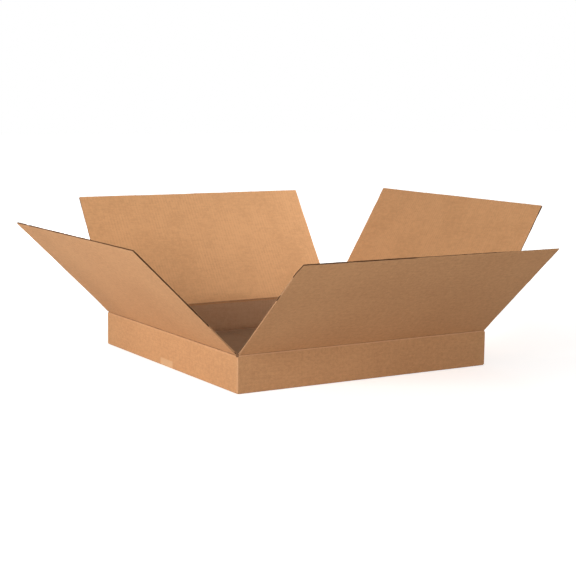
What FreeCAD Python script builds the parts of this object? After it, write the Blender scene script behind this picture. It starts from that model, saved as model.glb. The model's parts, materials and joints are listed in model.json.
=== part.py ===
import FreeCAD, Part
import math
import os

# A shallow square carton, folded from one sheet of corrugated board, with its four top flaps open.
# Sizes are in millimetres. The origin is the middle of the base, on the surface that the box
# stands on. +X runs to the right along the front side, +Y runs to the back and +Z is up.

# Outside of the box, over the faces of the board
length = 514.0  # left face to right face
width = 514.0  # front face to back face
end_fold_height = 64.5  # floor to the fold of the left and right top flaps
board = 3.0  # thickness of the corrugated board

# Folds of the top flaps. The front and back flaps close over the left and right ones. A front or
# back flap turns near the inside face of its panel, a left or right one near the outside face.
hinge_skin = 0.5  # board between a fold's hinge line and the face it lies nearest
layer_gap = 0.3  # air between a flap and what it closes over
fold_gap = 0.4  # width of the crushed line between a panel and its flap
fold_margin = 4.0  # degrees left between the crushed faces when the fold is bent all the way

# Outline of the flaps
top_seam = 1.2  # between two top flaps when they are closed
bottom_seam = 2.0  # between two bottom flaps
side_flap_inset = 3.0  # from the box's face to the side edge of a front or back flap
end_flap_play = 1.0  # from the inside of a panel to the side edge of a left or right flap
flap_corner_radius = 2.0

# Angle of each top flap above level, as it stands open
front_rise = 41.4
back_rise = 55.7
left_rise = 44.4
right_rise = 59.6

# Folded edges and the slots between flaps
fold_radius = 2.5  # outside of a folded edge
top_slot_depth = 3.0  # how far a slot runs past the fold at the top
bottom_slot_depth = 1.5  # the same at the bottom

# Glued tab inside the back panel, at the right end
tab_width = 34.0
tab_taper = 7.0
tab_clearance = 4.0  # from the tab to the flaps above and below it
raw_edge_gap = 1.0  # from the right face to the cut edge of the back panel

# Strip of tape along the bottom seam, with its ends turned up on the left and right panels
tape_width = 48.0
tape_thickness = 0.1
tape_end_height = 14.5  # floor to the end of the tape

side_fold_height = end_fold_height + 2 * hinge_skin + layer_gap
end_floor = board + layer_gap  # underside of the left and right bottom flaps
end_flap_inset = board + end_flap_play
bend_radius = min(fold_radius, 0.9 * board)
z_axis = FreeCAD.Vector(0, 0, 1)


def block(x0, x1, y0, y1, z0, z1):
    return Part.makeBox(x1 - x0, y1 - y0, z1 - z0, FreeCAD.Vector(x0, y0, z0))


# A section drawn across a front side, as (distance in from the outer face, height), pulled along X
def pull_section(points, across, start, end):
    corners = [FreeCAD.Vector(start, depth - across / 2, height) for depth, height in points]
    wire = Part.makePolygon(corners + corners[:1])
    return Part.Face(wire).extrude(FreeCAD.Vector(end - start, 0, 0))


def round_edges(solid, radius, wanted):
    edges = [edge for edge in solid.Edges if wanted(edge)]
    return solid.makeFillet(radius, edges)


# One side of the box, worked out as if it were the front and then turned into place
class Side:
    def __init__(self, turn, across, hinge_depth, fold_height, floor, rise, start, end):
        self.turn = turn
        self.across = across  # from this face of the box to the opposite one
        self.hinge_depth = hinge_depth
        self.fold_height = fold_height
        self.floor = floor  # underside of the bottom flap
        self.lean = 90 - rise
        self.start = start
        self.end = end
        self.flap_length = (across - top_seam) / 2 - hinge_depth
        self.bottom_length = (across - bottom_seam) / 2

    # The board's crushed edge beside the hinge line, as (depth, distance from the hinge line)
    def crushed_edge(self):
        droop = math.degrees(math.asin(self.fold_height / self.flap_length))
        outer_half = math.radians((90 - droop) / 2 - fold_margin)
        inner_half = math.radians(45 - fold_margin)
        inner_depth = board - self.hinge_depth
        tip = fold_gap / 2
        return [
            (0, self.hinge_depth / math.tan(outer_half)),
            (self.hinge_depth - tip * math.tan(outer_half), tip),
            (self.hinge_depth + tip * math.tan(inner_half), tip),
            (board, inner_depth / math.tan(inner_half)),
        ]

    def place(self, solid):
        solid.rotate(FreeCAD.Vector(0, 0, 0), z_axis, self.turn)
        return solid

    # Side panel with its bottom flap, folded in at the floor
    def panel(self):
        crest = [(depth, self.fold_height - away) for depth, away in self.crushed_edge()]
        foot = [
            (board, self.floor + board),
            (self.bottom_length, self.floor + board),
            (self.bottom_length, self.floor),
            (0, self.floor),
        ]
        solid = pull_section(crest + foot, self.across, self.start, self.end)
        solid = round_edges(solid, bend_radius, self.is_bottom_fold)
        return self.place(solid)

    def is_bottom_fold(self, edge):
        middle = edge.BoundBox.Center
        at_face = abs(middle.y + self.across / 2) < 0.01
        return at_face and abs(middle.z - self.floor) < 0.01

    # Top flap, drawn upright over its panel and then leaned outwards about the hinge line
    def top_flap(self):
        root = [(depth, self.fold_height + away) for depth, away in self.crushed_edge()]
        tip = [
            (board, self.fold_height + self.flap_length),
            (0, self.fold_height + self.flap_length),
        ]
        solid = pull_section(root + tip, self.across, self.start, self.end)
        solid = round_edges(solid, flap_corner_radius, self.is_flap_corner)
        hinge = FreeCAD.Vector(0, self.hinge_depth - self.across / 2, self.fold_height)
        solid.rotate(hinge, FreeCAD.Vector(1, 0, 0), self.lean)
        return self.place(solid)

    def is_flap_corner(self, edge):
        box = edge.BoundBox
        at_tip = abs(box.ZMin - self.fold_height - self.flap_length) < 0.01
        return at_tip and abs(box.YLength - board) < 0.01


# The right panel stops a board's thickness short of the back face, where its tab begins
def make_sides():
    long_side = [width, board - hinge_skin, side_fold_height, 0]
    end_side = [length, hinge_skin, end_fold_height, end_floor]
    side_half = length / 2 - side_flap_inset
    end_half = width / 2 - end_flap_inset
    return {
        "front": Side(0, *long_side, front_rise, -side_half, side_half),
        "right": Side(90, *end_side, right_rise, -end_half, end_half - board),
        "back": Side(180, *long_side, back_rise, -side_half, side_half),
        "left": Side(270, *end_side, left_rise, -end_half, end_half),
    }


# Folded upright corner at the left of the front side, for the given signs of X and Y
def folded_corner(x_sign, y_sign):
    low = bottom_slot_depth
    high = end_fold_height - top_slot_depth
    along_side = block(-length / 2, side_flap_inset - length / 2, -width / 2, board - width / 2, low, high)
    along_end = block(-length / 2, board - length / 2, -width / 2, end_flap_inset - width / 2, low, high)
    post = along_side.fuse(along_end).removeSplitter()
    post = round_edges(post, bend_radius, is_outer_upright)
    if x_sign > 0:
        post = post.mirror(FreeCAD.Vector(0, 0, 0), FreeCAD.Vector(1, 0, 0))
    if y_sign > 0:
        post = post.mirror(FreeCAD.Vector(0, 0, 0), FreeCAD.Vector(0, 1, 0))
    return post


def is_outer_upright(edge):
    middle = edge.BoundBox.Center
    return abs(middle.x + length / 2) < 0.01 and abs(middle.y + width / 2) < 0.01


# Right back corner: the right panel folds into a tab that is glued inside the back panel
def glued_corner():
    low = bottom_slot_depth
    high = end_fold_height - top_slot_depth
    right = length / 2
    back = width / 2
    inside = back - board
    fold = block(right - board, right, inside - end_flap_inset, inside, low, high)
    fold = round_edges(fold, bend_radius, is_tab_fold)
    raw_edge = block(right - side_flap_inset, right - raw_edge_gap, inside, back, low, high)
    tab_low = end_floor + board + tab_clearance
    tab_high = end_fold_height - board - tab_clearance
    root = right - board
    tip = root - tab_width
    outline = [
        FreeCAD.Vector(root, inside - board, tab_low),
        FreeCAD.Vector(root, inside - board, tab_high),
        FreeCAD.Vector(tip, inside - board, tab_high - tab_taper),
        FreeCAD.Vector(tip, inside - board, tab_low + tab_taper),
    ]
    face = Part.Face(Part.makePolygon(outline + outline[:1]))
    tab = face.extrude(FreeCAD.Vector(0, board, 0))
    return [fold, raw_edge, tab]


def is_tab_fold(edge):
    middle = edge.BoundBox.Center
    return abs(middle.x - length / 2) < 0.01 and abs(middle.y - width / 2 + board) < 0.01


# The whole blank except its top flaps, with a shallow bed pressed by the tape
def make_box_body(sides):
    parts = [side.panel() for side in sides.values()]
    parts += [folded_corner(-1, -1), folded_corner(1, -1), folded_corner(-1, 1)]
    parts += glued_corner()
    body = parts[0].multiFuse(parts[1:])
    bed_end = length / 2 - side_flap_inset
    bed = block(-bed_end, bed_end, -tape_width / 2, tape_width / 2, 0, tape_thickness)
    return body.cut(bed).removeSplitter()


# Tape: flat under the seam, straight across to each panel's folded edge, and up its face
def make_tape():
    seam_end = length / 2 - side_flap_inset
    centre_x = length / 2 - bend_radius
    centre_z = end_floor + bend_radius
    reach = math.hypot(seam_end - centre_x, centre_z - tape_thickness)
    towards = math.atan2(tape_thickness - centre_z, seam_end - centre_x)
    touch = towards + math.acos(bend_radius / reach)
    middle = touch / 2

    def on_fold(angle, sign):
        x = centre_x + bend_radius * math.cos(angle)
        return FreeCAD.Vector(sign * x, 0, centre_z + bend_radius * math.sin(angle))

    def turned_up_end(sign):
        top = FreeCAD.Vector(sign * length / 2, 0, tape_end_height)
        corner = FreeCAD.Vector(sign * seam_end, 0, tape_thickness)
        return [
            Part.LineSegment(top, on_fold(0, sign)).toShape(),
            Part.Arc(on_fold(0, sign), on_fold(middle, sign), on_fold(touch, sign)).toShape(),
            Part.LineSegment(on_fold(touch, sign), corner).toShape(),
        ]

    left_corner = FreeCAD.Vector(-seam_end, 0, tape_thickness)
    right_corner = FreeCAD.Vector(seam_end, 0, tape_thickness)
    flat = Part.LineSegment(left_corner, right_corner).toShape()
    path = Part.Wire(turned_up_end(-1) + [flat] + turned_up_end(1)[::-1])
    section = path.makeOffset2D(-tape_thickness, 2, True, True)
    section.translate(FreeCAD.Vector(0, -tape_width / 2, 0))
    return section.extrude(FreeCAD.Vector(0, tape_width, 0))


def save(name, shape):
    shape.exportStep("parts/" + name + ".step")
    state = "valid" if shape.isValid() else "bad"
    print(name, len(shape.Solids), "solid", round(shape.Volume, 1), "mm3", state)


os.makedirs("parts", exist_ok=True)
all_sides = make_sides()
save("box_body", make_box_body(all_sides))
for side_name, one_side in all_sides.items():
    save(side_name + "_flap", one_side.top_flap())
save("bottom_tape", make_tape())
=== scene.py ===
import bpy
import json
import math
from mathutils import Matrix, Vector, noise


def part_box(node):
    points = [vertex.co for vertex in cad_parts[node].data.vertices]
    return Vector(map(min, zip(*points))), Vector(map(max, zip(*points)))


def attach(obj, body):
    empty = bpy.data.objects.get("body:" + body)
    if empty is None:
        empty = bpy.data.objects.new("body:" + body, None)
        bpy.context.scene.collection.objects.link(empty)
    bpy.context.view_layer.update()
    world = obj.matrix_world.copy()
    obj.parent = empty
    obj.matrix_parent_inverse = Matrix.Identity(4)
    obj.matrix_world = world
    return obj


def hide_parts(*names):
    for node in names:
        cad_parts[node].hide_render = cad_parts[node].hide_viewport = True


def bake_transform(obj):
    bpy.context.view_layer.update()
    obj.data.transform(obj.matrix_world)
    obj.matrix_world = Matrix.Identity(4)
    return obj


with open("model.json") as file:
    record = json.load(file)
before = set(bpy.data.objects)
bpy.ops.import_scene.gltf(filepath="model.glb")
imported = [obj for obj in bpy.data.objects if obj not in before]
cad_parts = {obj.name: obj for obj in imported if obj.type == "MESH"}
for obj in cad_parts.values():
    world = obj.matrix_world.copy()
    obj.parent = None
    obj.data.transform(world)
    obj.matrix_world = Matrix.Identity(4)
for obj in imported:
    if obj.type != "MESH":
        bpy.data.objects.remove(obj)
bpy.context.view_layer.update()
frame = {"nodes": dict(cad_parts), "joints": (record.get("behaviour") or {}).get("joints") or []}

touching = 1e-6  # a point this near an edge, in metres, is on it


def smoothStep(value):
    value = min(max(value, 0.0), 1.0)
    return value * value * (3 - 2 * value)


def nearEdge(distance, width):
    return 1 - smoothStep(distance / width)


def bell(value):
    return max(0.0, 1 - value * value) ** 2


def rough(x, y, seed):
    return noise.noise(Vector((x, y, seed * 7.31)))


def letGo():
    if bpy.context.object and bpy.context.object.mode != "OBJECT":
        bpy.ops.object.mode_set(mode="OBJECT")
    bpy.ops.object.select_all(action="DESELECT")


def pickOnly(piece):
    letGo()
    piece.select_set(True)
    bpy.context.view_layer.objects.active = piece


# Camera, at the photograph's angle

cameraPlace = {
    "spot": (-1.32238, -2.1575, 0.4853),
    "azimuth": 31.396,  # degrees from +Y towards +X
    "downward": 8.093,
    "roll": 0.605,
    "lens": 85.73,
    "sensor": 36.0,
}


def setCamera():
    letGo()
    bpy.ops.object.camera_add()
    camera = bpy.context.object
    camera.name = "photoCamera"
    turn = Matrix.Rotation(-math.radians(cameraPlace["azimuth"]), 4, "Z")
    tip = Matrix.Rotation(math.radians(90 - cameraPlace["downward"]), 4, "X")
    roll = Matrix.Rotation(math.radians(cameraPlace["roll"]), 4, "Z")
    camera.matrix_world = Matrix.Translation(cameraPlace["spot"]) @ turn @ tip @ roll
    camera.data.lens = cameraPlace["lens"]
    camera.data.sensor_width = cameraPlace["sensor"]
    camera.data.clip_end = 60
    bpy.context.scene.camera = camera


setCamera()
print("camera set")


# Materials

kraftColours = {
    "outerLight": (0.685, 0.373, 0.180),
    "outerDark": (0.535, 0.276, 0.128),
    "innerLight": (0.70, 0.372, 0.172),
    "innerDark": (0.58, 0.302, 0.134),
    "wallLight": (0.62, 0.40, 0.246),  # painted shade: the inner face below the creases, darker and duller for the shadow inside the box
    "wallDark": (0.53, 0.33, 0.198),
    # painted shade: the inside of the bottom, darker still
    "bottomLight": (0.39, 0.229, 0.130),
    "bottomDark": (0.335, 0.190, 0.106),
    "torn": (0.58, 0.32, 0.165),  # cut edges of the two faces
    "flute": (0.25, 0.118, 0.054),  # the wavy paper and the backs of the faces: a darker brown paper, darkened further as painted shade in the open flutes
    "hollow": (0.15, 0.070, 0.034),  # painted shade for the hollows between flutes on a closed edge
    # pale specks, and pale marks that are partly wear and partly painted highlight
    "rubbed": (0.80, 0.47, 0.27),
    # dark specks, and the painted shade in the creases and inside the corners
    "fleck": (0.30, 0.15, 0.075),
    "tapeLight": (0.705, 0.402, 0.178),
    "tapeDark": (0.64, 0.356, 0.155),
}


paperLook = {
    # noise waves per metre, detail, roughness, and weight in the tone
    "grain": {
        "clouds": ((7, 7, 7), 3, 0.5, 0.42),
        "mottle": ((130, 190, 190), 3, 0.75, 1.05),
        "streaks": ((28, 420, 420), 3, 0.6, 0.46),
        "fibres": ((330, 1000, 1000), 4, 0.7, 0.80),
    },
    "toneRange": (1.01, 1.73),
    # noise waves per metre, where specks start and are full, how strong they are, and their colour
    "specks": (
        ((520, 900, 900), 0.70, 0.78, 0.35, "Fleck"),
        ((260, 1300, 700), 0.71, 0.80, 0.30, "Rubbed"),
    ),
    "patchWaves": (16, 9, 9),  # where the lines of the flutes show
    "rubWaves": (90, 160, 160),
    "gritWaves": (2600, 2600, 2600),
    "roughness": (0.80, 0.94),
    "gloss": 0.22,
    "bump": 0.55,
    "flapFade": (-0.005, -0.001),  # heights from the creased line over which the painted shade on the inner face gives way to the flap's colour
    "bottomFade": (-0.012, 0.022),  # heights from the floor where the painted shade turns darker again, on the bottom
}

# Cut edges: how far from the wavy paper and from the faces the paper still shows
edgeLook = {
    "wavePaper": (0.00012, 0.0003),
    "facePaper": (0.0003, 0.0005),
    "raggedWaves": (500, 500, 500),
    "crushedWaves": (120, 120, 120),
    "crushedMost": 0.6,
}


def newGroup(name, inputs, outputs):
    group = bpy.data.node_groups.new(name, "ShaderNodeTree")
    for socketName, kind, value in inputs:
        socket = group.interface.new_socket(name=socketName, in_out="INPUT", socket_type=kind)
        if value is not None:
            socket.default_value = value
    for socketName, kind in outputs:
        group.interface.new_socket(name=socketName, in_out="OUTPUT", socket_type=kind)
    return group


class NodeDesk:
    # Adds nodes to one tree and joins them
    def __init__(self, tree):
        self.tree = tree

    def add(self, kind, **settings):
        node = self.tree.nodes.new(kind)
        for key, value in settings.items():
            setattr(node, key, value)
        return node

    def join(self, start, end):
        self.tree.links.new(start, end)

    def put(self, socket, value):
        if isinstance(value, bpy.types.NodeSocket):
            self.join(value, socket)
        elif value is not None:
            socket.default_value = value

    def sum(self, operation, first, second=None, third=None):
        node = self.add("ShaderNodeMath", operation=operation)
        self.put(node.inputs[0], first)
        self.put(node.inputs[1], second)
        self.put(node.inputs[2], third)
        return node.outputs[0]

    def stretch(self, vector, scale):
        node = self.add("ShaderNodeVectorMath", operation="MULTIPLY")
        self.put(node.inputs[0], vector)
        node.inputs[1].default_value = scale
        return node.outputs[0]

    def noise(self, vector, detail=2.0, roughness=0.5):
        node = self.add("ShaderNodeTexNoise")
        self.put(node.inputs["Vector"], vector)
        node.inputs["Scale"].default_value = 1.0
        node.inputs["Detail"].default_value = detail
        node.inputs["Roughness"].default_value = roughness
        return node.outputs["Fac"]

    def between(self, value, low, high, newLow=0.0, newHigh=1.0):
        node = self.add("ShaderNodeMapRange", interpolation_type="SMOOTHSTEP")
        self.put(node.inputs["Value"], value)
        node.inputs["From Min"].default_value = low
        node.inputs["From Max"].default_value = high
        node.inputs["To Min"].default_value = newLow
        node.inputs["To Max"].default_value = newHigh
        return node.outputs["Result"]

    def mix(self, share, first, second, blend="MIX"):
        node = self.add("ShaderNodeMix", data_type="RGBA", blend_type=blend)
        self.put(node.inputs["Factor"], share)
        self.put(node.inputs[6], first)
        self.put(node.inputs[7], second)
        return node.outputs[2]


def opaque(colour):
    return (*colour, 1.0)


# Kraft paper: cloudy patches, mottling, fibres that run around the box, flecks and the
# faint lines of the flutes behind it. Place is a point of the flat sheet, in metres.
def kraftPaperGroup():
    group = newGroup(
        "kraftPaper",
        [
            ("Place", "NodeSocketVector", None),
            ("Light", "NodeSocketColor", (0.6, 0.3, 0.15, 1)),
            ("Dark", "NodeSocketColor", (0.5, 0.25, 0.12, 1)),
            ("Fleck", "NodeSocketColor", (0.3, 0.15, 0.07, 1)),
            ("Rubbed", "NodeSocketColor", (0.8, 0.5, 0.3, 1)),
            ("Rub", "NodeSocketFloat", 0.0),
            ("Flute Lines", "NodeSocketFloat", 0.2),
        ],
        [
            ("Colour", "NodeSocketColor"),
            ("Roughness", "NodeSocketFloat"),
            ("Height", "NodeSocketFloat"),
        ],
    )
    desk = NodeDesk(group)
    given = desk.add("NodeGroupInput")
    result = desk.add("NodeGroupOutput")
    place = given.outputs["Place"]

    apart = desk.add("ShaderNodeSeparateXYZ")
    desk.join(place, apart.inputs[0])
    turns = desk.sum("MULTIPLY", apart.outputs["X"], 2 * math.pi / boardSheet["flutePitch"])
    wave = desk.sum("MULTIPLY_ADD", desk.sum("SINE", turns), 0.5, 0.5)
    patchy = desk.between(desk.noise(desk.stretch(place, paperLook["patchWaves"]), 2), 0.35, 0.65)
    tone = desk.sum("MULTIPLY", desk.sum("MULTIPLY", wave, patchy), given.outputs["Flute Lines"])
    grain = {}
    for name, (waves, detail, roughness, weight) in paperLook["grain"].items():
        grain[name] = desk.noise(desk.stretch(place, waves), detail, roughness)
        tone = desk.sum("MULTIPLY_ADD", grain[name], weight, tone)
    share = desk.between(tone, *paperLook["toneRange"])
    colour = desk.mix(share, given.outputs["Dark"], given.outputs["Light"])

    for waves, low, high, most, tint in paperLook["specks"]:
        specks = desk.between(desk.noise(desk.stretch(place, waves), 1), low, high, 0.0, most)
        colour = desk.mix(specks, colour, given.outputs[tint])

    # marks from the mesh: pale where positive, partly wear and partly painted highlight; dark where
    # negative, painted shade
    wearLightNoise = desk.noise(desk.stretch(place, paperLook["rubWaves"]), 4, 0.7)
    wearLightBreak = desk.between(wearLightNoise, 0.3, 0.62, 0.35, 1.0)
    for sign, tint in ((1.0, "Rubbed"), (-1.0, "Fleck")):
        oneWay = desk.sum("MAXIMUM", desk.sum("MULTIPLY", given.outputs["Rub"], sign), 0.0)
        colour = desk.mix(desk.sum("MULTIPLY", oneWay, wearLightBreak), colour, given.outputs[tint])
    desk.join(colour, result.inputs["Colour"])

    roughness = desk.between(grain["fibres"], 0.3, 0.7, *paperLook["roughness"])
    desk.join(roughness, result.inputs["Roughness"])

    grit = desk.noise(desk.stretch(place, paperLook["gritWaves"]), 2, 0.6)
    height = desk.sum("MULTIPLY", grain["fibres"], 0.55)
    height = desk.sum("MULTIPLY_ADD", grit, 0.3, height)
    height = desk.sum("MULTIPLY_ADD", grain["streaks"], 0.3, height)
    desk.join(height, result.inputs["Height"])
    return group


# How far the wavy paper swings from the middle of the board
def mediumSwing():
    return boardSheet["thickness"] / 2 - boardSheet["liner"] - boardSheet["medium"] / 2


# The cut edge of closed board: two pale liners with the wavy paper between them, and painted shade in
# the hollows around it
def cutEdgeGroup():
    group = newGroup(
        "cutEdge",
        [
            ("Place", "NodeSocketVector", None),
            ("Pulp", "NodeSocketColor", (0.5, 0.25, 0.12, 1)),
            ("Hollow", "NodeSocketColor", (0.2, 0.1, 0.05, 1)),
        ],
        [("Colour", "NodeSocketColor"), ("Height", "NodeSocketFloat")],
    )
    desk = NodeDesk(group)
    given = desk.add("NodeGroupInput")
    result = desk.add("NodeGroupOutput")
    place = given.outputs["Place"]
    apart = desk.add("ShaderNodeSeparateXYZ")
    desk.join(place, apart.inputs[0])
    ragged = desk.noise(desk.stretch(place, edgeLook["raggedWaves"]), 3, 0.6)

    middle = boardSheet["thickness"] / 2
    turns = desk.sum("MULTIPLY", apart.outputs["X"], 2 * math.pi / boardSheet["flutePitch"])
    wave = desk.sum("MULTIPLY", desk.sum("COSINE", turns), mediumSwing())
    fromMiddle = desk.sum("SUBTRACT", apart.outputs["Y"], middle)
    fromWave = desk.sum("ABSOLUTE", desk.sum("ADD", fromMiddle, wave))
    fromFace = desk.sum("SUBTRACT", middle, desk.sum("ABSOLUTE", fromMiddle))
    onWave = desk.between(fromWave, *edgeLook["wavePaper"], 1.0, 0.0)
    onFace = desk.between(fromFace, *edgeLook["facePaper"], 1.0, 0.0)
    paper = desk.sum("MAXIMUM", onWave, onFace)
    crushedNoise = desk.noise(desk.stretch(place, edgeLook["crushedWaves"]), 2)
    crushed = desk.between(crushedNoise, 0.5, 0.62, 0.0, edgeLook["crushedMost"])
    paper = desk.sum("MAXIMUM", paper, crushed)
    colour = desk.mix(paper, given.outputs["Hollow"], given.outputs["Pulp"])
    worn = desk.between(ragged, 0.3, 0.7, 0.75, 1.1)
    shade = desk.add("ShaderNodeCombineColor")
    for channel in range(3):
        desk.join(worn, shade.inputs[channel])
    colour = desk.mix(1.0, colour, shade.outputs[0], "MULTIPLY")
    desk.join(colour, result.inputs["Colour"])
    desk.join(desk.sum("MULTIPLY_ADD", ragged, 0.4, paper), result.inputs["Height"])
    return group


def newMaterial(name):
    material = bpy.data.materials.new(name)
    material.use_nodes = True
    desk = NodeDesk(material.node_tree)
    shader = material.node_tree.nodes["Principled BSDF"]
    return material, desk, shader


def readAttribute(desk, name):
    return desk.add("ShaderNodeAttribute", attribute_name=name)


def addBump(desk, shader, height, strength, distance):
    bump = desk.add("ShaderNodeBump")
    bump.inputs["Strength"].default_value = strength
    bump.inputs["Distance"].default_value = distance
    desk.join(height, bump.inputs["Height"])
    desk.join(bump.outputs["Normal"], shader.inputs["Normal"])


# The inner face gets painted shade below the creases, and darker painted shade on the bottom, for the
# shadow inside the box
def linerMaterial(name, face, fluteLines, bumpDistance):
    material, desk, shader = newMaterial(name)
    paper = desk.add("ShaderNodeGroup", node_tree=paperNodes)
    place = readAttribute(desk, "flatPlace").outputs["Vector"]
    desk.join(place, paper.inputs["Place"])
    desk.join(readAttribute(desk, "rub").outputs["Fac"], paper.inputs["Rub"])
    apart = desk.add("ShaderNodeSeparateXYZ")
    desk.join(place, apart.inputs[0])
    flapFade = [topCrease["line"] + part for part in paperLook["flapFade"]]
    onFlap = desk.between(apart.outputs["Z"], *flapFade)
    onWall = desk.between(apart.outputs["Z"], *paperLook["bottomFade"])
    for tone in ("Light", "Dark"):
        colour = opaque(kraftColours[face + tone])
        paper.inputs[tone].default_value = colour
        if face == "inner":
            bottom = opaque(kraftColours["bottom" + tone])
            shadedBelow = desk.mix(onWall, bottom, opaque(kraftColours["wall" + tone]))
            desk.join(desk.mix(onFlap, shadedBelow, colour), paper.inputs[tone])
    paper.inputs["Fleck"].default_value = opaque(kraftColours["fleck"])
    paper.inputs["Rubbed"].default_value = opaque(kraftColours["rubbed"])
    paper.inputs["Flute Lines"].default_value = fluteLines
    desk.join(paper.outputs["Colour"], shader.inputs["Base Color"])
    desk.join(paper.outputs["Roughness"], shader.inputs["Roughness"])
    shader.inputs["Specular IOR Level"].default_value = paperLook["gloss"]
    addBump(desk, shader, paper.outputs["Height"], paperLook["bump"], bumpDistance)
    return material


def edgeMaterial(name):
    material, desk, shader = newMaterial(name)
    edge = desk.add("ShaderNodeGroup", node_tree=edgeNodes)
    desk.join(readAttribute(desk, "flatPlace").outputs["Vector"], edge.inputs["Place"])
    edge.inputs["Pulp"].default_value = opaque(kraftColours["torn"])
    edge.inputs["Hollow"].default_value = opaque(kraftColours["hollow"])
    desk.join(edge.outputs["Colour"], shader.inputs["Base Color"])
    shader.inputs["Roughness"].default_value = 0.95
    shader.inputs["Specular IOR Level"].default_value = 0.15
    addBump(desk, shader, edge.outputs["Height"], 0.6, 0.0003)
    return material


# Plain brown paper with no smooth face
def pulpMaterial(name, pulp):
    material, desk, shader = newMaterial(name)
    place = readAttribute(desk, "flatPlace").outputs["Vector"]
    fibres = desk.noise(desk.stretch(place, (700, 2200, 1200)), 4, 0.7)
    patches = desk.noise(desk.stretch(place, (60, 60, 60)), 3)
    tone = desk.sum("MULTIPLY_ADD", fibres, 0.5, desk.sum("MULTIPLY", patches, 0.5))
    darker = tuple(part * 0.72 for part in pulp)
    share = desk.between(tone, 0.3, 0.7)
    colour = desk.mix(share, opaque(darker), opaque(pulp))
    desk.join(colour, shader.inputs["Base Color"])
    desk.join(desk.between(fibres, 0.3, 0.7, 0.86, 0.98), shader.inputs["Roughness"])
    shader.inputs["Specular IOR Level"].default_value = 0.15
    addBump(desk, shader, fibres, 0.5, 0.00015)
    return material


def tapeMaterial(name):
    material, desk, shader = newMaterial(name)
    place = readAttribute(desk, "flatPlace").outputs["Vector"]
    bubbles = desk.noise(desk.stretch(place, (120, 260, 260)), 3, 0.6)
    pulls = desk.noise(desk.stretch(place, (14, 520, 520)), 2)
    share = desk.sum("MULTIPLY_ADD", bubbles, 0.6, desk.sum("MULTIPLY", pulls, 0.4))
    dark = opaque(kraftColours["tapeDark"])
    light = opaque(kraftColours["tapeLight"])
    colour = desk.mix(desk.between(share, 0.35, 0.65), dark, light)
    desk.join(colour, shader.inputs["Base Color"])
    desk.join(desk.between(bubbles, 0.3, 0.7, 0.30, 0.46), shader.inputs["Roughness"])
    shader.inputs["Specular IOR Level"].default_value = 0.45
    addBump(desk, shader, share, 0.35, 0.0002)
    return material


# Corrugated board, in metres. The flutes run up the sides and out along the flaps.
boardSheet = {
    "thickness": 0.003,
    "liner": 0.00036,  # one paper face
    "medium": 0.00026,  # the wavy paper between the faces
    "flutePitch": 0.0064,
    "fluteSkew": {"front": -0.0064, "right": 0.003, "back": -0.003, "left": 0.0064},  # from square
    "outerWashboard": 0.00002,  # how far the faces sink between the flutes
    "innerWashboard": 0.00007,
    "layerGap": 0.0003,  # between one bottom flap and the next
    "tapeBed": 0.00015,  # the tape keeps the bottom flaps this far off the floor
    "smoothAngle": 38,  # degrees
}

# Creased lines that the top flaps turn on
topCrease = {
    "line": frame["joints"][0]["pos_m"][2],  # its height on the front
    "reach": 0.006,  # board on each side of the line that bends with it
    "bendHalf": 0.0022,
    "grooveDeep": 0.0011,  # outside, on the front and back
    "grooveShallow": 0.0007,  # on the left and right
    "grooveHalf": 0.0009,
    "grooveLine": 0.0003,  # how far past the line the groove lies
    "bulgeDeep": 0.00025,
    "bulgeShallow": 0.00008,
    # distance past the line, half width and share of each ridge
    "bulges": ((-0.0018, 0.0013, 1.0), (0.0026, 0.0014, 0.6)),
    "pressDeep": 0.0012,  # inside, on the left and right
    "pressShallow": 0.0003,  # on the front and back
    "pressHalf": 0.0018,
    "pressWide": 0.0045,
    "pressWideShare": 0.12,
    # the same for painted light: a painted highlight where the share is positive, painted shade in the
    # groove where it is negative
    "rubInner": ((0.0025, 0.002, 0.2), (-0.0004, 0.002, -0.8)),
    "rubDeep": ((-0.0023, 0.0017, 0.70), (0.0002, 0.0015, -0.95)),
    "rubShallow": ((-0.0030, 0.0016, 0.35), (0.0002, 0.0021, -1.35)),
    "wander": 0.00018,  # from a straight line
    "blendHalf": {"front": 0.004, "right": 0.003, "back": 0.004, "left": 0.003},
    "columnsPerFlute": 2,
    "fineStep": 0.0003,
}

# Folded edges along the floor and up the corners
foldedEdge = {
    "radius": 0.0025,
    "crush": 0.24,  # share of the thickness lost on the fold
    "crushStart": 0.0005,
    "crushReach": 0.0016,
    "cornerCrushStart": 0.0002,
    "cornerCrushReach": 0.0008,
    "dipFloor": 0.0004,  # what stays under the left and right folds
    "dipReach": 0.0052,  # how far in their flaps climb
    "dipRise": 0.030,  # how far up the panel the dip fades
    "postLow": 0.0015,
    "postHigh": 0.0615,
    "postRowStep": 0.006,
    "postColumns": 20,
    "seamHalf": 0.0003,  # half the gap where the outer bottom flaps meet
}

paperNodes = kraftPaperGroup()
edgeNodes = cutEdgeGroup()
outerLiner = linerMaterial("outerLiner", "outer", 0.04, 0.00010)
innerLiner = linerMaterial("innerLiner", "inner", 0.24, 0.00012)
cutEdge = edgeMaterial("cutEdge")
tornPaper = pulpMaterial("tornPaper", kraftColours["torn"])
flutedPaper = pulpMaterial("flutedPaper", kraftColours["flute"])
tapeFilm = tapeMaterial("tapeFilm")
print("materials made")


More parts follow.
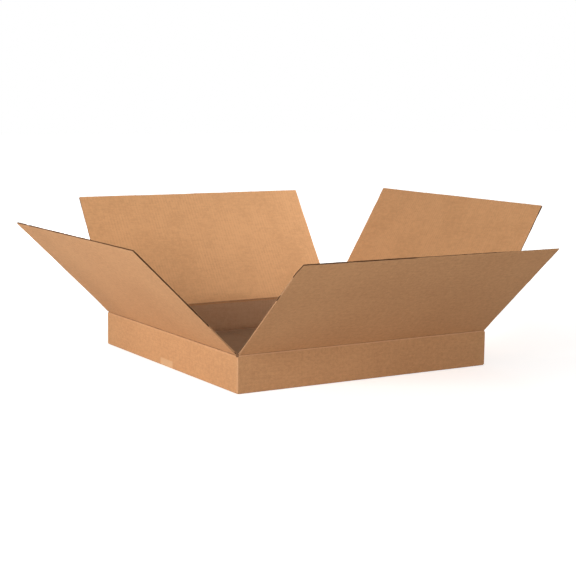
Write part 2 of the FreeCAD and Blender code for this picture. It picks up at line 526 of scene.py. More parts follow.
# The four sides, read from the frame. A side's own space is (along, depth, height): along runs
# to the right as seen from outside, depth runs in from the outer face, height is from the floor.
def readSide(name, order):
    joint = next(joint for joint in frame["joints"] if joint["child"] == name + "_flap")
    hinge = Vector(joint["pos_m"])
    along = -Vector(joint["axis"])
    up = Vector((0, 0, 1))
    inward = up.cross(along)
    lean = math.radians(joint["range_deg"][1] - 90)
    boxLow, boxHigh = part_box("box_body")
    half = max(-inward.dot(boxLow), -inward.dot(boxHigh))
    hingeDepth = half + inward.dot(hinge)
    flapWay = up * math.cos(lean) - inward * math.sin(lean)
    flapPoints = [vertex.co - hinge for vertex in frame["nodes"][name + "_flap"].data.vertices]
    alongs = [point.dot(along) for point in flapPoints]
    outside = hingeDepth > boardSheet["thickness"] / 2
    place = Matrix((along, inward, up)).transposed().to_4x4()
    place.translation = -inward * half
    floor = boardSheet["tapeBed"] if outside else boardSheet["thickness"] + boardSheet["layerGap"]
    flutesAcross = round(2 * half / boardSheet["flutePitch"])
    return {
        "name": name,
        "joint": joint,
        "place": place,
        "half": half,
        "low": min(alongs),
        "high": max(alongs),
        "top": hinge.z,
        "hingeDepth": hingeDepth,
        "outside": outside,
        "floor": floor,
        "lean": lean,
        "flapLength": max(point.dot(flapWay) for point in flapPoints),
        "shift": order * flutesAcross * boardSheet["flutePitch"],
        "fluteFrom": max(alongs) if name == "left" else min(alongs),
        "fluteSkew": boardSheet["fluteSkew"][name],
        "seed": order + 1,
    }


sides = {}
for order, sideName in enumerate(("front", "right", "back", "left")):
    sides[sideName] = readSide(sideName, order)
print("sides read:", ", ".join(sides))


# Flat sheets, cut before they are folded

def spacedCuts(low, high, step):
    count = max(1, round((high - low) / step))
    return [low + (high - low) * number / count for number in range(1, count)]


# An upright flat grid, with its lower left corner at low
def addGrid(low, wide, high, columns, rows):
    letGo()
    middle = (low[0] + wide / 2, low[1], low[2] + high / 2)
    bpy.ops.mesh.primitive_grid_add(
        x_subdivisions=columns,
        y_subdivisions=rows,
        size=1,
        location=middle,
        rotation=(math.pi / 2, 0, 0),
    )
    grid = bpy.context.object
    grid.scale = (wide, high, 1)
    bpy.ops.object.transform_apply(location=True, rotation=True, scale=True)
    return grid


# A closed flat board, with extra cuts across it at the given heights
def cutBoard(name, low, high, columns, cuts):
    size = Vector(high) - Vector(low)
    board = addGrid(low, size.x, size.z, columns, 1)
    board.name = name
    bpy.ops.object.mode_set(mode="EDIT")
    for height in cuts:
        bpy.ops.mesh.select_all(action="SELECT")
        bpy.ops.mesh.bisect(plane_co=(0, 0, height), plane_no=(0, 0, 1))
    bpy.ops.mesh.select_all(action="SELECT")
    bpy.ops.mesh.extrude_region_move(TRANSFORM_OT_translate={"value": (0, size.y, 0)})
    bpy.ops.mesh.select_all(action="SELECT")
    bpy.ops.mesh.normals_make_consistent(inside=False)
    bpy.ops.object.mode_set(mode="OBJECT")
    return board


# Paper faces take the two liners, the rest is a cut edge. Done while the board is still flat.
def coverBoard(board, outer, inner, edge):
    for material in (outer, inner, edge):
        board.data.materials.append(material)
    for face in board.data.polygons:
        if face.normal.y < -0.7:
            face.material_index = 0
        elif face.normal.y > 0.7:
            face.material_index = 1
        else:
            face.material_index = 2


# Distance along the sheet, measured across the flutes, which don't run quite square
def acrossFlutes(side, along, height):
    return along - side["fluteFrom"] + side["fluteSkew"] * (height - side["top"])


def fluteWave(side, along, height):
    return math.cos(2 * math.pi * acrossFlutes(side, along, height) / boardSheet["flutePitch"])


# Each point keeps its place on the flat sheet, for the patterns, and its marks: pale marks that are
# partly wear and partly painted highlight, and dark marks of painted shade
def rememberFlat(board, side, wearAndLightAt):
    flat = board.data.attributes.new("flatPlace", "FLOAT_VECTOR", "POINT")
    for index, vertex in enumerate(board.data.vertices):
        along, depth, height = vertex.co
        flat.data[index].vector = (acrossFlutes(side, along, height) + side["shift"], depth, height)
    rub = board.data.attributes.new("rub", "FLOAT", "POINT")
    for index, vertex in enumerate(board.data.vertices):
        rub.data[index].value = wearAndLightAt(side, *vertex.co)


def reshape(board, side, shaper):
    for vertex in board.data.vertices:
        vertex.co = shaper(side, *vertex.co)


def settle(board, side):
    board.data.transform(side["place"])


def joinAs(name, parts):
    letGo()
    for part in parts:
        part.select_set(True)
    bpy.context.view_layer.objects.active = parts[0]
    if len(parts) > 1:
        bpy.ops.object.join()
    piece = bpy.context.object
    piece.name = name
    piece.data.name = name
    bpy.ops.object.shade_smooth_by_angle(angle=math.radians(boardSheet["smoothAngle"]))
    return piece


def fluteColumns(low, high, perFlute):
    return round((high - low) / boardSheet["flutePitch"] * perFlute)


# The faces sink a little between the tips of the flutes
def washboard(side, along, depth, height, amount):
    wave = fluteWave(side, along, height)
    if depth < boardSheet["thickness"] / 2:
        return depth + boardSheet["outerWashboard"] * amount * (1 - wave) / 2
    return depth - boardSheet["innerWashboard"] * amount * (1 + wave) / 2


def squeezed(depth, share):
    middle = boardSheet["thickness"] / 2
    return middle + (depth - middle) * (1 - share)


# Turns a point of the flat board out about the side's hinge line
def leanOut(side, along, depth, height, share):
    turn = side["lean"] * share
    across = depth - side["hingeDepth"]
    above = height - side["top"]
    newDepth = side["hingeDepth"] + across * math.cos(turn) - above * math.sin(turn)
    newHeight = side["top"] + across * math.sin(turn) + above * math.cos(turn)
    return Vector((along, newDepth, newHeight))


# The left and right folds dip to the floor before their flaps climb over the outer pair
def dipped(side, along, depth, height):
    drop = side["floor"] - foldedEdge["dipFloor"]
    if drop > 0:
        climb = nearEdge(depth - foldedEdge["radius"], foldedEdge["dipReach"])
        height -= drop * climb * nearEdge(height - side["floor"], foldedEdge["dipRise"])
    return Vector((along, depth, height))


# Folds the foot of the board in along the floor. The outer face keeps its length.
def foldUnder(side, along, depth, height):
    radius = foldedEdge["radius"]
    start = side["floor"] + radius
    arc = radius * math.pi / 2
    onFold = min(max(0, height - start), max(0, start - arc - height))
    away = max(height - start, start - arc - height, 0) - foldedEdge["crushStart"]
    crush = foldedEdge["crush"] * nearEdge(away + onFold, foldedEdge["crushReach"])
    depth = depth * (1 - crush)
    if height >= start:
        return dipped(side, along, depth, height)
    turn = min((start - height) / radius, math.pi / 2)
    beyond = max(0, start - height - arc)
    reach = radius - depth
    newDepth = radius - reach * math.cos(turn) + beyond
    return dipped(side, along, newDepth, start - reach * math.sin(turn))


# Top flaps

flapLook = {
    "crushedEdge": {"front": 0.15, "right": 0.35, "back": 0.35, "left": 0.12},
    # shares of the flap's width where its free edge is pressed flatter, and how much
    "pressedEdge": {
        "front": ((0.42, 0.73, 0.62), (0.73, 2, 0.85)),
        "right": ((0.1, 0.3, 0.5), (0.7, 0.8, 0.6)),
        "back": ((0.5, 0.75, 0.6),),
        "left": ((0.1, 0.125, 0.85),),
    },
    "crushedSide": {"front": 0.15, "right": 0.35, "back": 0.35, "left": 0.15},
    # shares of the flap's length where its side edges gape, closed by a flute's wall elsewhere
    "gaping": {
        "front": ((0.62, 0.68), (0.87, 2)),
        "right": ((0.15, 0.5), (0.8, 2)),
        "back": ((0.3, 0.75), (0.9, 2)),
        "left": ((0.28, 2),),
    },
    "leastPress": 0.06,
    "edgePressReach": 0.005,
    "sidePress": 0.30,  # where the side edges are closed
    "sidePressReach": 0.004,
    "pressFade": 0.02,  # share of the width or length over which a zone starts and ends
    "wallInset": 0.0003,
    "leftCornerDraw": {"front": 0.0032, "right": 0.0, "back": 0.0, "left": 0.0},
    "drawFrom": 0.9,  # share of the flap's length where the left corner starts to be drawn in
    "drawReach": 0.03,
    "swell": {"front": 0.0, "right": 0.0, "back": -0.0003, "left": 0.0004},
    "waves": 0.00016,
    "growReach": 0.03,  # distance from the crease over which the flap takes its own shape
    "ragged": {"front": 0.0004, "right": 0.0002, "back": 0.0002, "left": 0.0003},
    "trim": 0.0005,  # the free edge's mean distance inside the true one
    "sideTrim": 0.00015,
    "mediumSideInset": 0.0042,
    "cornerRadius": 0.0018,
    "rowStep": 0.009,
    "edgeCuts": (0.006, 0.004, 0.002, 0.001),  # extra cuts along the free edge
    "columnsPerFlute": 4,
    "mediumColumns": 10,  # per flute
    "mediumRowStep": 0.03,
    "mediumLastRow": 0.004,
    # a pale rim along the free and side edges: partly wear, partly painted highlight
    "rubEdge": 0.2,
    "rubReach": 0.0018,
}


# How far a share lies within a zone, with soft ends
def within(share, start, end):
    fade = flapLook["pressFade"]
    return smoothStep((share - start) / fade + 0.5) * smoothStep((end - share) / fade + 0.5)


def edgePressed(side, along):
    share = (along - side["low"]) / (side["high"] - side["low"])
    uneven = 1 + 0.45 * rough(along * 75, 8.0, side["seed"])
    zones = flapLook["pressedEdge"][side["name"]]
    return min(max(within(share, start, end) * amount * uneven for start, end, amount in zones), 0.9)


def sidePressed(side, way):
    gap = max(within(way, start, end) for start, end in flapLook["gaping"][side["name"]])
    return flapLook["sidePress"] * (1 - gap)


def flapShape(side, along, depth, height, seed):
    out = height - side["top"] - topCrease["reach"]
    free = side["flapLength"] - (height - side["top"])
    edge = min(along - side["low"], side["high"] - along)
    growing = smoothStep(out / flapLook["growReach"])

    if free < touching:
        height -= flapLook["trim"] + flapLook["ragged"][side["name"]] * rough(along * 260, 0.3, seed)
    if edge < touching:
        cut = flapLook["sideTrim"] * (1 + rough(height * 240, 0.7, seed)) * growing
        along += cut if along < 0 else -cut

    way = min(1, max(0, 1 - free / side["flapLength"]))
    drawn = smoothStep((way - flapLook["drawFrom"]) / (1 - flapLook["drawFrom"]))
    drawn *= nearEdge(along - side["low"], flapLook["drawReach"])
    along += flapLook["leftCornerDraw"][side["name"]] * drawn

    radius = flapLook["cornerRadius"]
    if edge < radius and free < radius:
        sideways = radius - edge
        onward = radius - free
        share = 1 - max(sideways, onward) / math.hypot(sideways, onward)
        along += sideways * share * (1 if along < 0 else -1)
        height -= onward * share

    dent = smoothStep((rough(along * 22, 4.0, side["seed"]) - 0.05) / 0.3)
    dented = flapLook["leastPress"] + flapLook["crushedEdge"][side["name"]] * dent
    squeeze = max(dented, edgePressed(side, along)) * nearEdge(free, flapLook["edgePressReach"])
    sideDent = smoothStep(rough(height * 25, 9.0, side["seed"]) / 0.3)
    sideDented = flapLook["leastPress"] + flapLook["crushedSide"][side["name"]] * sideDent
    squeezeSide = max(sideDented, sidePressed(side, way)) * growing
    squeezeSide *= nearEdge(edge, flapLook["sidePressReach"])
    depth = squeezed(washboard(side, along, depth, height, growing), max(squeeze, squeezeSide))
    swell = flapLook["swell"][side["name"]] * math.sin(math.pi * way)
    waves = flapLook["waves"] * rough(along * 9, height * 7, side["seed"] + 20)
    if side["name"] != "left":
        waves = -abs(waves)
    depth += (swell + waves) * growing
    return leanOut(side, along, depth, height, 1)


# A pale rim along the flap's free and side edges: partly wear, partly painted highlight
def flapEdgeWearAndHighlight(side, along, depth, height):
    free = side["flapLength"] - (height - side["top"])
    edge = min(along - side["low"], side["high"] - along)
    return flapLook["rubEdge"] * nearEdge(min(free, edge), flapLook["rubReach"])


def layerShaper(seed):
    def shaper(side, along, depth, height):
        return flapShape(side, along, depth, height, seed)

    return shaper


# The wavy paper between the two faces
def flapMedium(side):
    bottom = side["top"] + topCrease["reach"]
    top = side["top"] + side["flapLength"]
    inset = flapLook["mediumSideInset"]
    wide = side["high"] - side["low"] - 2 * inset
    columns = fluteColumns(side["low"], side["high"], flapLook["mediumColumns"])
    rows = round((top - bottom) / flapLook["mediumRowStep"])
    low = (side["low"] + inset, boardSheet["thickness"] / 2, bottom)
    medium = addGrid(low, wide, top - bottom, columns, rows)
    bpy.ops.object.mode_set(mode="EDIT")
    bpy.ops.mesh.select_all(action="SELECT")
    bpy.ops.mesh.bisect(plane_co=(0, 0, top - flapLook["mediumLastRow"]), plane_no=(0, 0, 1))
    bpy.ops.object.mode_set(mode="OBJECT")
    swing = mediumSwing()
    for vertex in medium.data.vertices:
        vertex.co.y -= swing * fluteWave(side, vertex.co.x, vertex.co.z)
    solid = medium.modifiers.new("paper", "SOLIDIFY")
    solid.thickness = boardSheet["medium"]
    solid.offset = 0
    bpy.ops.object.modifier_apply(modifier=solid.name)
    medium.data.materials.append(flutedPaper)
    return medium


# Where a side edge was cut along a flute, that flute's wall closes it
def sideWalls(side):
    bottom = side["top"] + topCrease["reach"]
    thick = boardSheet["thickness"]
    liner = boardSheet["liner"]
    ends = [0]
    for gap in flapLook["gaping"][side["name"]]:
        ends += gap
    walls = []
    for start, end in zip(ends[0::2], ends[1::2]):
        low = max(bottom, side["top"] + start * side["flapLength"])
        high = side["top"] + end * side["flapLength"]
        for sign in (-1, 1):
            face = (side["low"] if sign < 0 else side["high"]) - sign * flapLook["wallInset"]
            left, right = sorted((face, face - sign * liner))
            cuts = spacedCuts(low, high, flapLook["rowStep"])
            wall = cutBoard("wall", (left, liner, low), (right, thick - liner, high), 1, cuts)
            wall.data.materials.append(tornPaper)
            walls.append(wall)
    return walls


def makeFlap(side):
    bottom = side["top"] + topCrease["reach"]
    top = side["top"] + side["flapLength"]
    thick = boardSheet["thickness"]
    liner = boardSheet["liner"]
    columns = fluteColumns(side["low"], side["high"], flapLook["columnsPerFlute"])
    cuts = spacedCuts(bottom, top - flapLook["edgeCuts"][0], flapLook["rowStep"])
    cuts += [top - inset for inset in flapLook["edgeCuts"]]

    outer = cutBoard("outer", (side["low"], 0, bottom), (side["high"], liner, top), columns, cuts)
    coverBoard(outer, outerLiner, flutedPaper, tornPaper)
    innerLow = (side["low"], thick - liner, bottom)
    inner = cutBoard("inner", innerLow, (side["high"], thick, top), columns, cuts)
    coverBoard(inner, flutedPaper, innerLiner, tornPaper)
    layers = [outer, inner, flapMedium(side)] + sideWalls(side)
    for number, layer in enumerate(layers):
        rememberFlat(layer, side, flapEdgeWearAndHighlight)
        reshape(layer, side, layerShaper(side["seed"] * 10 + number))
        settle(layer, side)
    flap = joinAs(side["name"] + "Flap", layers)
    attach(flap, side["joint"]["child"])
    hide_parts(side["joint"]["child"])


for side in sides.values():
    makeFlap(side)
    print("flap made:", side["name"])


# Creases between the box and its top flaps

def ridges(past, rows):
    return sum(share * bell((past - place) / half) for place, half, share in rows)


def creaseShape(side, along, depth, height):
    wander = topCrease["wander"] * rough(along * 45, 1.0, side["seed"] + 40)
    past = height - side["top"] + wander
    uneven = 1 + 0.5 * rough(along * 110, 3.0, side["seed"] + 50)
    if depth < boardSheet["thickness"] / 2:
        groove = topCrease["grooveDeep"] if side["outside"] else topCrease["grooveShallow"]
        bulge = topCrease["bulgeDeep"] if side["outside"] else topCrease["bulgeShallow"]
        depth += groove * uneven * bell((past - topCrease["grooveLine"]) / topCrease["grooveHalf"])
        depth -= bulge * uneven * ridges(past, topCrease["bulges"])
    else:
        press = topCrease["pressShallow"] if side["outside"] else topCrease["pressDeep"]
        depth -= press * uneven * bell(past / topCrease["pressHalf"])
        depth -= press * topCrease["pressWideShare"] * bell(past / topCrease["pressWide"])
    share = smoothStep((past + topCrease["bendHalf"]) / (2 * topCrease["bendHalf"]))
    if abs(height - side["top"]) > topCrease["reach"] - touching:
        share = 0 if height < side["top"] else 1
    return leanOut(side, along, depth, height, share)


# Painted highlight beside the creased line and painted shade in its groove, inside and out
def creasePaintedLight(side, along, depth, height):
    past = height - side["top"]
    if depth > boardSheet["thickness"] / 2:
        return ridges(past, topCrease["rubInner"])
    return ridges(past, topCrease["rubDeep"] if side["outside"] else topCrease["rubShallow"])


def makeCrease(side):
    reach = topCrease["reach"]
    low = (side["low"], 0, side["top"] - reach)
    high = (side["high"], boardSheet["thickness"], side["top"] + reach)
    cuts = [side["top"] + reach * number / 6 for number in (-5, -4, 4, 5)]
    cuts += [side["top"] + topCrease["fineStep"] * number for number in range(-10, 11)]
    columns = fluteColumns(side["low"], side["high"], topCrease["columnsPerFlute"])
    crease = cutBoard("crease", low, high, columns, cuts)
    coverBoard(crease, outerLiner, innerLiner, cutEdge)
    rememberFlat(crease, side, creasePaintedLight)
    reshape(crease, side, creaseShape)
    settle(crease, side)
    crease = joinAs(side["name"] + "Crease", [crease])
    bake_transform(crease)


for side in sides.values():
    makeCrease(side)
print("creases made")


# The box: four sides with their bottom flaps, three folded corners and the glued one

boxLook = {
    "columnsPerFlute": 3,
    "panelRowStep": 0.0075,
    "flapRowStep": 0.016,
    "foldCuts": 7,
    "nearFoldCuts": (0.0005, 0.0010, 0.0015, 0.0021),
    "climb": 0.012,  # stretch of bottom flap past those, cut finely where it climbs
    "climbRowStep": 0.0012,
    "growTop": 0.008,
    "growFold": 0.006,
    "growCorner": 0.01,
    "waves": 0.0003,
    "ragged": 0.0002,
    "sideTrim": 0.0003,
    # painted light along the bottom fold
    "rubFold": 0.10,
    "rubFoldHalf": 0.0035,
    # a pale line down the outer corner, partly wear and partly painted highlight; painted shade inside
    # the corner pieces
    "rubCorner": 0.40,
    "rubCornerHalf": 0.0024,
    "rubCornerInside": -0.2,
}


def stripShape(side, along, depth, height):
    radius = foldedEdge["radius"]
    foldStart = side["floor"] + radius
    foldEnd = foldStart - radius * math.pi / 2
    belowTop = side["top"] - topCrease["reach"] - height
    fromFold = max(height - foldStart, foldEnd - height, 0)
    growing = smoothStep(belowTop / boxLook["growTop"]) * smoothStep(fromFold / boxLook["growFold"])
    edge = min(along - side["low"], side["high"] - along)
    depth = washboard(side, along, depth, height, growing)
    if height < foldEnd and edge < touching:
        cut = boxLook["sideTrim"] * (1 + rough(height * 240, 0.2, side["seed"])) * growing
        along += cut if along < 0 else -cut
    onWall = smoothStep(edge / boxLook["growCorner"]) if height > foldEnd else 1
    waves = boxLook["waves"] * rough(along * 8, height * 9, side["seed"] + 60)
    if height < foldEnd:
        waves = 0.5 * (waves - abs(waves)) if not side["outside"] else 0.0
    depth += waves * growing * onWall
    tip = foldEnd - (side["half"] - foldedEdge["seamHalf"] - radius)
    if height < tip + touching:
        height += boxLook["ragged"] * (1 + rough(along * 260, 0.5, side["seed"]))
    return foldUnder(side, along, depth, height)


# Painted light along the bottom fold
def stripFoldLight(side, along, depth, height):
    start = side["floor"] + foldedEdge["radius"]
    middle = start - foldedEdge["radius"] * math.pi / 4
    return boxLook["rubFold"] * bell((height - middle) / boxLook["rubFoldHalf"])


def makeStrip(side):
    radius = foldedEdge["radius"]
    start = side["floor"] + radius
    arc = radius * math.pi / 2
    tip = start - arc - (side["half"] - foldedEdge["seamHalf"] - radius)
    crown = side["top"] - topCrease["reach"]
    steps = boxLook["nearFoldCuts"]
    climbEnd = start - arc - steps[-1]
    climbStart = climbEnd - boxLook["climb"]
    cuts = [start + step for step in steps] + [start - arc - step for step in steps]
    cuts += [start - arc * number / boxLook["foldCuts"] for number in range(boxLook["foldCuts"] + 1)]
    cuts += spacedCuts(start + steps[-1], crown, boxLook["panelRowStep"])
    cuts += spacedCuts(tip, climbStart, boxLook["flapRowStep"])
    cuts += spacedCuts(climbStart, climbEnd, boxLook["climbRowStep"])
    columns = fluteColumns(side["low"], side["high"], boxLook["columnsPerFlute"])
    thick = boardSheet["thickness"]
    strip = cutBoard("strip", (side["low"], 0, tip), (side["high"], thick, crown), columns, cuts)
    coverBoard(strip, outerLiner, innerLiner, cutEdge)
    strip.data.materials.append(tornPaper)
    for face in strip.data.polygons:
        if abs(face.normal.x) > 0.7:  # cut along a flute
            face.material_index = 3
    rememberFlat(strip, side, stripFoldLight)
    reshape(strip, side, stripShape)
    settle(strip, side)
    return strip


# Wraps the end of a side's board around an upright corner
def wrapCorner(bendStart):
    radius = foldedEdge["radius"]
    arc = radius * math.pi / 2

    def shaper(side, along, depth, height):
        past = along - bendStart
        away = max(-past, past - arc, 0) - foldedEdge["cornerCrushStart"]
        depth *= 1 - foldedEdge["crush"] * nearEdge(away, foldedEdge["cornerCrushReach"])
        if past <= 0:
            return Vector((along, depth, height))
        turn = min(past / radius, math.pi / 2)
        beyond = max(0, past - arc)
        reach = radius - depth
        newDepth = radius - reach * math.cos(turn) + beyond
        return Vector((bendStart + reach * math.sin(turn), newDepth, height))

    return shaper


# Painted highlight down the outer corner, partly wear, and painted shade on the whole inner face of
# the corner pieces
def cornerWearAndLight(side, along, depth, height):
    middle = side["half"] + foldedEdge["radius"] * (math.pi / 4 - 1)
    if depth > boardSheet["thickness"] / 2:
        return boxLook["rubCornerInside"]
    return boxLook["rubCorner"] * bell((along - middle) / boxLook["rubCornerHalf"])


# Folded corner between a side's right end and the next side's left end
def makePost(side, nextSide):
    radius = foldedEdge["radius"]
    bendStart = side["half"] - radius
    arc = radius * math.pi / 2
    end = bendStart + arc + bendStart + nextSide["low"]  # where the next side's board starts
    low = (side["high"], 0, foldedEdge["postLow"])
    high = (end, boardSheet["thickness"], foldedEdge["postHigh"])
    cuts = spacedCuts(foldedEdge["postLow"], foldedEdge["postHigh"], foldedEdge["postRowStep"])
    post = cutBoard("post", low, high, foldedEdge["postColumns"], cuts)
    coverBoard(post, outerLiner, innerLiner, cutEdge)
    rememberFlat(post, side, cornerWearAndLight)
    reshape(post, side, wrapCorner(bendStart))
    settle(post, side)
    return post


gluedCorner = {
    "tabWidth": 0.034,
    "tabTaper": 0.007,
    "tabLow": 0.0103,
    "tabHigh": 0.0575,
    "tabPastBend": 0.0006,  # where the taper starts
    "tabColumns": 90,
    "glueLine": 0.0001,
    "rawEdgeGap": 0.001,  # from the outer face of the right side
    "rawEdgeColumns": 4,
    "rawEdgeRub": 0.2,
}


# The right side's board turns the last corner and runs on as a tapered tab
def makeTab(side, nextSide):
    radius = foldedEdge["radius"]
    thick = boardSheet["thickness"]
    bendStart = side["half"] - thick - gluedCorner["glueLine"] - radius
    arc = radius * math.pi / 2
    tabStart = bendStart + arc + gluedCorner["tabPastBend"]
    tabEnd = tabStart + gluedCorner["tabWidth"]
    postLow = foldedEdge["postLow"]
    postHigh = foldedEdge["postHigh"]
    cuts = spacedCuts(postLow, postHigh, foldedEdge["postRowStep"])
    low = (side["high"], 0, postLow)
    tab = cutBoard("tab", low, (tabEnd, thick, postHigh), gluedCorner["tabColumns"], cuts)
    coverBoard(tab, outerLiner, innerLiner, cutEdge)
    rememberFlat(tab, side, cornerWearAndLight)
    wrap = wrapCorner(bendStart)

    def shaper(side, along, depth, height):
        if along > tabStart:
            share = (along - tabStart) / gluedCorner["tabWidth"]
            taper = gluedCorner["tabTaper"] * share
            newLow = gluedCorner["tabLow"] + taper
            newHigh = gluedCorner["tabHigh"] - taper
            height = newLow + (newHigh - newLow) * (height - postLow) / (postHigh - postLow)
        return wrap(side, along, depth, height)

    reshape(tab, side, shaper)
    settle(tab, side)

    rawLow = (-nextSide["half"] + gluedCorner["rawEdgeGap"], 0, postLow)
    rawHigh = (nextSide["low"], thick, postHigh)
    rawEdge = cutBoard("rawEdge", rawLow, rawHigh, gluedCorner["rawEdgeColumns"], cuts)
    coverBoard(rawEdge, outerLiner, innerLiner, cutEdge)
    rememberFlat(rawEdge, nextSide, lambda side, along, depth, height: gluedCorner["rawEdgeRub"])
    settle(rawEdge, nextSide)
    return [tab, rawEdge]


def makeBox():
    parts = [makeStrip(side) for side in sides.values()]
    parts.append(makePost(sides["front"], sides["right"]))
    parts.append(makePost(sides["back"], sides["left"]))
    parts.append(makePost(sides["left"], sides["front"]))
    parts += makeTab(sides["right"], sides["back"])
    box = joinAs("boxBody", parts)
    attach(box, "box")
    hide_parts("box_body")


makeBox()
print("box made")


# Packing tape along the bottom seam, turned up on the left and right sides

tapeLook = {
    "columns": 300,
    "rows": 48,
    "thickness": 0.00009,
    "bendCuts": 5,
    "bendStep": 0.0003,
    "toothDepth": 0.0006,
    "wrinkle": 0.00012,
    "wrinkleRise": 0.004,  # height where the wrinkles start, and over which they grow
}


# From a distance along the tape to its place: level under the seam, straight on to the
# folded edge, round it, and up the side
def tapePoint(distance, radius, centre, seamEnd, straight, touch):
    arc = radius * -touch
    if distance < seamEnd:
        return distance, 0.0
    past = distance - seamEnd
    if past < straight:
        share = past / straight
        touchX = centre[0] + radius * math.cos(touch)
        touchZ = centre[1] + radius * math.sin(touch)
        return seamEnd + (touchX - seamEnd) * share, touchZ * share
    past -= straight
    if past < arc:
        turn = touch + past / radius
        return centre[0] + radius * math.cos(turn), centre[1] + radius * math.sin(turn)
    return centre[0] + radius, centre[1] + past - arc


def makeTape():
    low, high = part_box("bottom_tape")
    wide = high.y - low.y
    thick = tapeLook["thickness"]
    seamEnd = sides["front"]["high"]
    bend = foldedEdge["radius"]
    centre = (high.x - thick - bend, foldedEdge["dipFloor"] + bend)
    radius = bend + thick
    reach = math.hypot(seamEnd - centre[0], centre[1])
    touch = math.atan2(-centre[1], seamEnd - centre[0]) + math.acos(radius / reach)
    straight = math.sqrt(reach * reach - radius * radius)
    half = seamEnd + straight + radius * -touch + (high.z - centre[1])

    letGo()
    columns = tapeLook["columns"]
    bpy.ops.mesh.primitive_grid_add(x_subdivisions=columns, y_subdivisions=tapeLook["rows"], size=1)
    tape = bpy.context.object
    tape.scale = (2 * half, wide, 1)
    bpy.ops.object.transform_apply(location=True, rotation=True, scale=True)
    bpy.ops.object.mode_set(mode="EDIT")
    bendStart = seamEnd + straight
    cuts = [seamEnd, bendStart]
    cuts += [bendStart + tapeLook["bendStep"] * (number + 1) for number in range(tapeLook["bendCuts"])]
    for sign in (-1, 1):
        for place in cuts:
            bpy.ops.mesh.select_all(action="SELECT")
            bpy.ops.mesh.bisect(plane_co=(sign * place, 0, 0), plane_no=(1, 0, 0))
    bpy.ops.object.mode_set(mode="OBJECT")
    tape.data.materials.append(tapeFilm)
    flat = tape.data.attributes.new("flatPlace", "FLOAT_VECTOR", "POINT")
    for index, vertex in enumerate(tape.data.vertices):
        flat.data[index].vector = (vertex.co.x, vertex.co.y, 0)
    step = wide / tapeLook["rows"]
    for vertex in tape.data.vertices:
        along, across, _ = vertex.co
        sign = 1 if along > 0 else -1
        distance = abs(along)
        if distance > half - touching:
            tooth = round((across + wide / 2) / step) % 2
            distance -= tapeLook["toothDepth"] * (tooth + 0.3 * rough(across * 300, 0, 3))
        x, z = tapePoint(distance, radius, centre, seamEnd, straight, touch)
        onFace = smoothStep(z / tapeLook["wrinkleRise"] - 1)
        lift = tapeLook["wrinkle"] * max(0, rough(across * 130, distance * 150, 5 + sign)) * onFace
        vertex.co = (sign * (x + lift), across, z)
    solid = tape.modifiers.new("film", "SOLIDIFY")
    solid.thickness = thick
    solid.offset = 1
    pickOnly(tape)
    bpy.ops.object.modifier_apply(modifier=solid.name)
    tape = joinAs("bottomTape", [tape])
    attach(tape, "box")
    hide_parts("bottom_tape")


makeTape()
print("tape made")


# Studio: a pale floor, soft lamps and a white background

studio = {
    "floorHalf": 12.0,
    "floorColour": (0.80, 0.80, 0.80),
    "floorDrop": 0.0004,
    "nearWhite": 0.66,
    "farWhite": 1.0,
    "fadeStart": 0.5,
    "fadeEnd": 1.6,
    "ambient": 0.30,
    "lampAim": (0, 0, 0.1),
}

softLamps = {
    "leftSoft": {"spot": (-2.1, -0.5, 0.8), "size": 0.8, "power": 26.8},
    "frontSoft": {"spot": (0.0, -2.4, 0.45), "size": 1.4, "power": 9},
    "cornerSoft": {"spot": (-1.5, -1.8, 0.5), "size": 1.2, "power": 3.7},
    "backSoft": {"spot": (0.5, 2.4, 0.8), "size": 1.2, "power": 16},
}

# A narrow lamp from the right, across the inside of the back flap
flapLamp = {
    "spot": (1.4, 0.24, 0.76),
    "aim": (0.2, 0.33, 0.19),
    "size": 0.05,
    "cone": 46,  # degrees
    "blend": 1.0,
    "power": 103,
}


# Rays that see the white background: from the camera, mirrored or through something clear
def seenRays(desk):
    rays = desk.add("ShaderNodeLightPath")
    seen = desk.sum("MAXIMUM", rays.outputs["Is Camera Ray"], rays.outputs["Is Glossy Ray"])
    return desk.sum("MAXIMUM", seen, rays.outputs["Is Transmission Ray"])


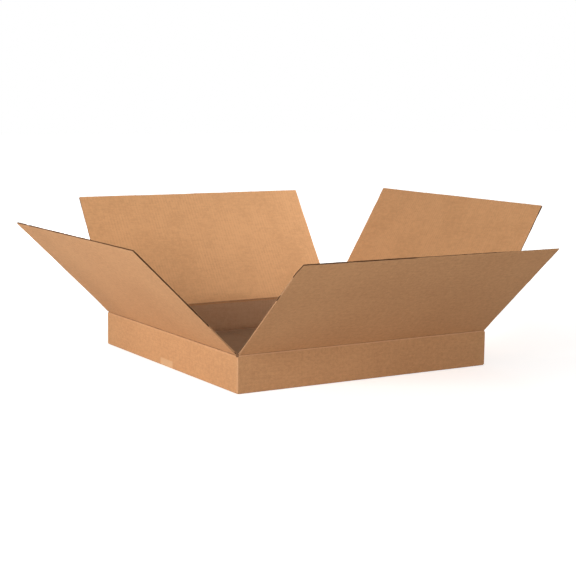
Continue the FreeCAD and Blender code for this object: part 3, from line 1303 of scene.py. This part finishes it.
def makeFloor():
    letGo()
    middle = (0, 0, -studio["floorDrop"])
    bpy.ops.mesh.primitive_plane_add(size=2 * studio["floorHalf"], location=middle)
    floor = bpy.context.object
    floor.name = "studioFloor"
    material = bpy.data.materials.new("paleFloor")
    material.use_nodes = True
    tree = material.node_tree
    tree.nodes.clear()
    desk = NodeDesk(tree)
    matt = desk.add("ShaderNodeBsdfDiffuse")
    matt.inputs["Color"].default_value = opaque(studio["floorColour"])
    place = desk.add("ShaderNodeTexCoord").outputs["Object"]
    length = desk.add("ShaderNodeVectorMath", operation="LENGTH")
    desk.join(place, length.inputs[0])
    far = desk.between(length.outputs["Value"], studio["fadeStart"], studio["fadeEnd"])
    glow = desk.add("ShaderNodeEmission")
    rise = studio["farWhite"] - studio["nearWhite"]
    white = desk.sum("MULTIPLY_ADD", far, rise, studio["nearWhite"])
    desk.join(desk.sum("MULTIPLY", seenRays(desk), white), glow.inputs["Strength"])
    both = desk.add("ShaderNodeAddShader")
    desk.join(matt.outputs[0], both.inputs[0])
    desk.join(glow.outputs[0], both.inputs[1])
    output = desk.add("ShaderNodeOutputMaterial")
    desk.join(both.outputs[0], output.inputs["Surface"])
    floor.data.materials.append(material)


def addLamp(name, kind, lamp, aim):
    letGo()
    bpy.ops.object.light_add(type=kind, location=lamp["spot"])
    light = bpy.context.object
    light.name = name
    light.data.energy = lamp["power"]
    towards = Vector(aim) - Vector(lamp["spot"])
    light.rotation_euler = towards.to_track_quat("-Z", "Y").to_euler()
    light.visible_camera = False
    return light


def makeLamps():
    for name, lamp in softLamps.items():
        light = addLamp(name, "AREA", lamp, studio["lampAim"])
        light.data.shape = "DISK"
        light.data.size = lamp["size"]
    light = addLamp("flapLamp", "SPOT", flapLamp, flapLamp["aim"])
    light.data.shadow_soft_size = flapLamp["size"]
    light.data.spot_size = math.radians(flapLamp["cone"])
    light.data.spot_blend = flapLamp["blend"]


def makeWorld():
    world = bpy.data.worlds.new("studioWorld")
    bpy.context.scene.world = world
    world.use_nodes = True
    tree = world.node_tree
    tree.nodes.clear()
    desk = NodeDesk(tree)
    strength = desk.sum("MULTIPLY_ADD", seenRays(desk), 1 - studio["ambient"], studio["ambient"])
    back = desk.add("ShaderNodeBackground")
    back.inputs["Color"].default_value = (1, 1, 1, 1)
    desk.join(strength, back.inputs["Strength"])
    output = desk.add("ShaderNodeOutputWorld")
    desk.join(back.outputs[0], output.inputs["Surface"])


makeFloor()
makeLamps()
makeWorld()
bpy.context.scene.view_settings.view_transform = "Standard"
print("studio made")

bpy.context.view_layer.update()
print("sizes written")
